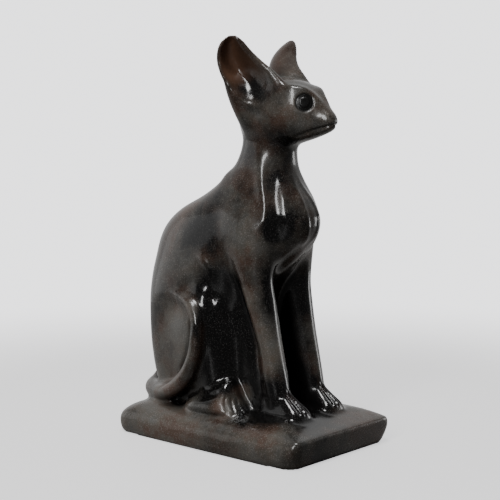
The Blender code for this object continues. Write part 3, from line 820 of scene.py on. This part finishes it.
def carve_small_forms(body):
    split_near(body, [(side * x, y, z) for x, y, z in DETAIL_SPOTS for side in (-1, 1)])
    surface = surface_of(body.data)
    stroke(body, surface, -1, *TAIL_SEAM)
    for side in (-1, 1):
        for form in FINE_STROKES:
            stroke(body, surface, side, *form)
        stroke(body, surface, side, eye_ring(EYE_RIM), *EYE_RIM_GROOVE)
        stroke(body, surface, side, eye_ring(PUPIL), *PUPIL_GROOVE)
        for rows, cleft in ((FOREPAW_CLEFTS, FOREPAW_CLEFT), (HINDPAW_CLEFTS, HINDPAW_CLEFT)):
            for place in (-1, 0, 1):
                path = [(x + place * dx, y + place * dy, z) for x, y, z, dx, dy in rows]
                stroke(body, surface, side, path, *cleft)


def core():
    """The torso, head, limbs, haunches and roots of the ears as one smooth mass."""
    pieces = [torso(), head()]
    for side in (-1, 1):
        pieces.append(limb("foreleg", side, FORELEG, FORELEG_SQUARENESS))
        pieces.append(limb("shank", side, SHANK, SHANK_SQUARENESS))
        pieces.append(limb("web", side, WEB, WEB_SQUARENESS))
        for name, ((x, y, z), radii) in (("haunch", HAUNCH), ("shoulder", SHOULDER)):
            pieces.append(ellipsoid(name, (side * x, y, z), radii))
        pieces += tube("ear_root", side, EAR_ROOT)
    mass = fused("core", pieces, CORE_GRAIN, CORE_POLISH)
    surface = surface_of(mass.data)
    for side in (-1, 1):
        for form in CORE_STROKES:
            stroke(mass, surface, side, *form)
    stroke(mass, surface, -1, *FLANK_HOLLOW)
    return mass


def carved_cat():
    pieces = [core(), plinth(), *tube("tail", 1, TAIL)]
    for side in (-1, 1):
        pieces.append(ear(side))
        pieces.append(paw("forepaw", side, FOREPAW, FOREPAW_SQUARENESS))
        pieces.append(paw("hindpaw", side, HINDPAW, HINDPAW_SQUARENESS))
    body = fused("cat", pieces, FINE_GRAIN, FINE_POLISH)
    for side in (-1, 1):
        cut(body, scoop(side))
    body = fused("obsidian_cat_stone", [body], FINE_GRAIN, LAST_POLISH)
    soften(body, SOFT_SPOTS)
    carve_small_forms(body)
    return body


def flatten_underside(body):
    for vertex in body.data.vertices:
        if vertex.co.z < FOOT_DEPTH:
            vertex.co.z = 0


def write_attribute(mesh, name, values):
    layer = mesh.attributes.new(name, "FLOAT", "POINT")
    layer.data.foreach_set("value", values.astype(np.float32))


def openness(surface, points, normals):
    """The share of the directions out of each point that meet no other stone."""
    spin = np.arange(SKY_RAYS) * math.pi * (3 - math.sqrt(5))
    spread = np.sqrt((np.arange(SKY_RAYS) + 0.5) / SKY_RAYS)
    lift = np.sqrt(1 - spread**2)
    clear = np.zeros(len(points))
    for i, (point, normal) in enumerate(zip(points, normals)):
        normal = Vector(normal)
        across = normal.orthogonal().normalized()
        above = normal.cross(across)
        start = Vector(point) + normal * RAY_START
        for turn, flat, high in zip(spin + i, spread, lift):
            ray = across * (flat * math.cos(turn)) + above * (flat * math.sin(turn)) + normal * high
            if surface.ray_cast(start, ray, SKY_REACH)[0] is None:
                clear[i] += 1 / SKY_RAYS
    return clear


def thinness(surface, points, normals):
    """How thin the stone is under each point: 0 where it is THIN_STONE or more, and 1 at nothing."""
    thickness = np.full(len(points), THICKEST_READ)
    for i, (point, normal) in enumerate(zip(points, normals)):
        inward = -Vector(normal)
        distance = surface.ray_cast(Vector(point) + inward * RAY_START, inward, THICKEST_READ)[3]
        if distance is not None:
            thickness[i] = distance
    return np.clip(1 - thickness / THIN_STONE, 0, 1)


def patina_and_shade(points):
    """How worn the polish is at each point, with the painted shade and light of the rows."""
    level = np.full(len(points), PATINA_BASE)
    for *spot, reach, amount in PATINA_AND_SHADE:
        for gap in gaps_to(points, spot):
            level += amount * np.exp(-((gap / reach) ** 2))
    return np.clip(level, *PATINA_AND_SHADE_LIMITS)


def measure_stone(body):
    """Stores what the stone's look follows: how thin and open it is, how worn it is with its painted
    shade and light, and where the eyes are.
    """
    mesh = body.data
    points, normals = vertex_arrays(mesh)
    edges = edge_array(mesh)
    surface = surface_of(mesh)
    eye_gap = np.minimum(*gaps_to(points, EYE_CENTRE))
    write_attribute(mesh, "thin", averaged(thinness(surface, points, normals), edges, THIN_ROUNDS))
    write_attribute(mesh, "eye", np.clip((EYE_DARK_RADIUS - eye_gap) / EYE_DARK_EDGE, 0, 1))
    write_attribute(mesh, "open", averaged(openness(surface, points, normals), edges, SKY_ROUNDS))
    write_attribute(mesh, "patina_and_shade", patina_and_shade(points))


def node(tree, kind, **settings):
    made = tree.nodes.new(kind)
    for key, value in settings.items():
        setattr(made, key, value)
    return made


def noise(tree, place, scale, detail, roughness):
    made = node(tree, "ShaderNodeTexNoise")
    tree.links.new(place, made.inputs["Vector"])
    made.inputs["Scale"].default_value = scale
    made.inputs["Detail"].default_value = detail
    made.inputs["Roughness"].default_value = roughness
    return made.outputs["Fac"]


def attribute(tree, name):
    return node(tree, "ShaderNodeAttribute", attribute_name=name).outputs["Fac"]


def ramp(tree, value, stops):
    made = node(tree, "ShaderNodeValToRGB")
    tree.links.new(value, made.inputs["Fac"])
    elements = made.color_ramp.elements
    while len(elements) < len(stops):
        elements.new(0.5)
    for element, (position, colour) in zip(elements, stops):
        element.position = position
        element.color = (*colour, 1)
    return made.outputs["Color"]


def grey(value):
    return (value, value, value)


def grey_ramp(tree, value, stops):
    return ramp(tree, value, [(position, grey(level)) for position, level in stops])


def mixed(tree, share, first, second, blend="MIX"):
    """Two colours mixed by a share. Each of the three is a value or another node's output."""
    made = node(tree, "ShaderNodeMix", data_type="RGBA", blend_type=blend)
    factor = made.inputs["Factor"]
    colours = [socket for socket in made.inputs if socket.type == "RGBA"]
    for socket, value in zip((factor, *colours), (share, first, second)):
        if isinstance(value, bpy.types.NodeSocket):
            tree.links.new(value, socket)
        else:
            socket.default_value = (*value, 1) if isinstance(value, tuple) else value
    return next(socket for socket in made.outputs if socket.type == "RGBA")


def smooth_step(tree, value, low, high, start=0.0):
    """A share that climbs softly from its start to 1 while a value goes from low to high."""
    made = node(tree, "ShaderNodeMapRange", interpolation_type="SMOOTHSTEP")
    tree.links.new(value, made.inputs["Value"])
    made.inputs["From Min"].default_value = low
    made.inputs["From Max"].default_value = high
    made.inputs["To Min"].default_value = start
    return made.outputs["Result"]


def towards_dark_side(tree, way):
    """How far a place or a direction is towards the dark side of the room."""
    made = node(tree, "ShaderNodeVectorMath", operation="DOT_PRODUCT")
    tree.links.new(way, made.inputs[0])
    made.inputs[1].default_value = DARK_SIDE
    return made.outputs["Value"]


def seen_by_camera(tree):
    """1 for what the camera sees directly, and 0 for what the stone mirrors or is lit by."""
    return node(tree, "ShaderNodeLightPath").outputs["Is Camera Ray"]


def blend_to_backdrop(tree, share, shader, backdrop_kind, output):
    """Sends a shader to the output, mixed by a share with the plain backdrop."""
    backdrop = node(tree, backdrop_kind)
    backdrop.inputs["Color"].default_value = (*BACKDROP, 1)
    backdrop.inputs["Strength"].default_value = 1
    blend = node(tree, "ShaderNodeMixShader")
    tree.links.new(share, blend.inputs["Fac"])
    tree.links.new(shader, blend.inputs[1])
    tree.links.new(backdrop.outputs[0], blend.inputs[2])
    tree.links.new(blend.outputs["Shader"], tree.nodes[output].inputs["Surface"])


def principled(name):
    """A new material, its node tree and its shader."""
    material = bpy.data.materials.new(name)
    material.use_nodes = True
    return material, material.node_tree, material.node_tree.nodes["Principled BSDF"]


def wear_and_shade_share(tree, place, unshaded):
    """Where the polish is worn: in clouds and where the patina rows say so, with the painted shade and
    light in those rows, and least of all in hollows, where shade is painted.
    """
    clouds = grey_ramp(tree, noise(tree, place, *CLOUD_NOISE), CLOUDS)
    # The patina rows carry painted shade and light along with the patina.
    spread = mixed(tree, CLOUD_SHARE, attribute(tree, "patina_and_shade"), clouds)
    return mixed(tree, 1.0, grey_ramp(tree, spread, SPREAD_TO_WEAR_AND_SHADE), unshaded, "MULTIPLY")


def stone_colour(tree, place, unshaded, wear_and_shade):
    """Black where it is polished and where shade is painted, brown and grey where it is worn, and a
    painted brown glow where the stone is thin.
    """
    tints = ramp(tree, noise(tree, place, *TINT_NOISE), WORN_TINTS)
    colour = mixed(tree, wear_and_shade, BLACK_STONE, tints)
    grain = grey_ramp(tree, noise(tree, place, *SPECK_NOISE), SPECKS)
    # Painted shade: the specks fade out in the hollows too.
    grain = mixed(tree, 1.0, grain, unshaded, "MULTIPLY")
    colour = mixed(tree, grain, colour, mixed(tree, wear_and_shade, POLISHED_SPECKS, WORN_SPECKS))
    # Painted glow: where the stone is thin, and more so where it is sheltered, it is painted brown as if
    # light came through it.
    glow = grey_ramp(tree, attribute(tree, "thin"), THIN_TO_GLOW)
    sheltered = grey_ramp(tree, attribute(tree, "open"), OPEN_TO_GLOW)
    glow = mixed(tree, 1.0, glow, sheltered, "MULTIPLY")
    colour = mixed(tree, glow, colour, THIN_GLOW)
    return mixed(tree, attribute(tree, "eye"), colour, EYE_STONE)


def obsidian():
    material, tree, shader = principled("obsidian")
    place = node(tree, "ShaderNodeTexCoord").outputs["Object"]
    # Painted shade: hollows, by how open each point is, keep the colour black.
    unshaded = grey_ramp(tree, attribute(tree, "open"), OPEN_TO_UNSHADED)
    wear_and_shade = wear_and_shade_share(tree, place, unshaded)
    tree.links.new(stone_colour(tree, place, unshaded, wear_and_shade), shader.inputs["Base Color"])

    roughness = grey_ramp(tree, attribute(tree, "open"), OPEN_TO_ROUGHNESS)
    roughness = mixed(tree, wear_and_shade, roughness, grey(WORN_ROUGHNESS))
    tree.links.new(roughness, shader.inputs["Roughness"])
    coat = grey_ramp(tree, attribute(tree, "open"), OPEN_TO_COAT)
    coat = mixed(tree, attribute(tree, "eye"), coat, grey(EYE_COAT))
    tree.links.new(coat, shader.inputs["Coat Weight"])
    shader.inputs["IOR"].default_value = STONE_IOR
    shader.inputs["Coat Roughness"].default_value = COAT_ROUGHNESS
    shader.inputs["Coat IOR"].default_value = COAT_IOR

    bump = node(tree, "ShaderNodeBump")
    bump.inputs["Strength"].default_value = BUMP_STRENGTH
    bump.inputs["Distance"].default_value = BUMP_DEPTH
    tree.links.new(noise(tree, place, *BUMP_NOISE), bump.inputs["Height"])
    tree.links.new(bump.outputs["Normal"], shader.inputs["Normal"])
    return material


def floor_material():
    material, tree, shader = principled("floor")
    shader.inputs["Roughness"].default_value = FLOOR_ROUGHNESS
    place = node(tree, "ShaderNodeTexCoord").outputs["Object"]
    seen = seen_by_camera(tree)
    dark = smooth_step(tree, towards_dark_side(tree, place), *DARK_FLOOR_EDGE)
    mirrored = mixed(tree, dark, BRIGHT_FLOOR, DARK_FLOOR)
    tree.links.new(mixed(tree, seen, mirrored, FLOOR_COLOUR), shader.inputs["Base Color"])
    away = node(tree, "ShaderNodeVectorMath", operation="LENGTH")
    tree.links.new(place, away.inputs[0])
    first, last = (share * FLOOR_RADIUS for share in FLOOR_FADE)
    fade = smooth_step(tree, away.outputs["Value"], first, last, FLOOR_FADE_START)
    share = node(tree, "ShaderNodeMath", operation="MULTIPLY")
    tree.links.new(fade, share.inputs[0])
    tree.links.new(seen, share.inputs[1])
    blend_to_backdrop(
        tree, share.outputs["Value"], shader.outputs["BSDF"], "ShaderNodeEmission", "Material Output"
    )
    return material


def floor():
    """A pale disc that fades into the backdrop."""
    bpy.ops.mesh.primitive_circle_add(vertices=FLOOR_POINTS, radius=FLOOR_RADIUS, fill_type="NGON")
    disc = bpy.context.object
    disc.name = "floor"
    disc.data.materials.append(floor_material())


def studio():
    """A room that is bright behind the cat and overhead, and dark on the side that it is seen from."""
    world = bpy.data.worlds.new("studio")
    bpy.context.scene.world = world
    world.use_nodes = True
    tree = world.node_tree
    room = tree.nodes["Background"]
    direction = node(tree, "ShaderNodeTexCoord").outputs["Generated"]
    span = node(tree, "ShaderNodeMapRange")
    tree.links.new(towards_dark_side(tree, direction), span.inputs["Value"])
    span.inputs["From Min"].default_value = -1
    tree.links.new(grey_ramp(tree, span.outputs["Result"], ROOM), room.inputs["Color"])
    room.inputs["Strength"].default_value = ROOM_LIGHT
    blend_to_backdrop(
        tree, seen_by_camera(tree), room.outputs["Background"], "ShaderNodeBackground", "World Output"
    )


def soft_box(name, azimuth, elevation, distance, width, height, watts):
    """A rectangular light that faces the cat and that the camera doesn't see."""
    turn, rise = math.radians(azimuth), math.radians(elevation)
    towards = Vector((-math.sin(turn) * math.cos(rise), -math.cos(turn) * math.cos(rise), math.sin(rise)))
    light = bpy.data.lights.new(name, "AREA")
    light.shape = "RECTANGLE"
    light.size, light.size_y = width, height
    light.energy = watts
    lamp = bpy.data.objects.new(name, light)
    lamp.location = Vector(LAMP_TARGET) + towards * distance
    lamp.rotation_mode = "QUATERNION"
    lamp.rotation_quaternion = (-towards).to_track_quat("-Z", "Y")
    lamp.visible_camera = False
    bpy.context.scene.collection.objects.link(lamp)


def lights():
    for lamp in LAMPS:
        soft_box(*lamp)


def camera():
    lens = bpy.data.cameras.new("camera")
    lens.sensor_width = SENSOR_WIDTH
    lens.lens = LENS
    lens.clip_start = CAMERA_NEAR
    eye = bpy.data.objects.new("camera", lens)
    eye.location = CAMERA_PLACE
    turn, tilt = math.radians(CAMERA_TURN), math.atan(CAMERA_FALL)
    look = Vector((math.sin(turn) * math.cos(tilt), math.cos(turn) * math.cos(tilt), -math.sin(tilt)))
    eye.rotation_mode = "QUATERNION"
    eye.rotation_quaternion = look.to_track_quat("-Z", "Y")
    bpy.context.scene.collection.objects.link(eye)
    bpy.context.scene.camera = eye


def main():
    camera()
    stone = carved_cat()
    flatten_underside(stone)
    measure_stone(stone)
    stone.data.shade_smooth()
    stone.data.materials.append(obsidian())
    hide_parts("obsidian_cat")
    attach(stone, "root")
    floor()
    studio()
    lights()


main()
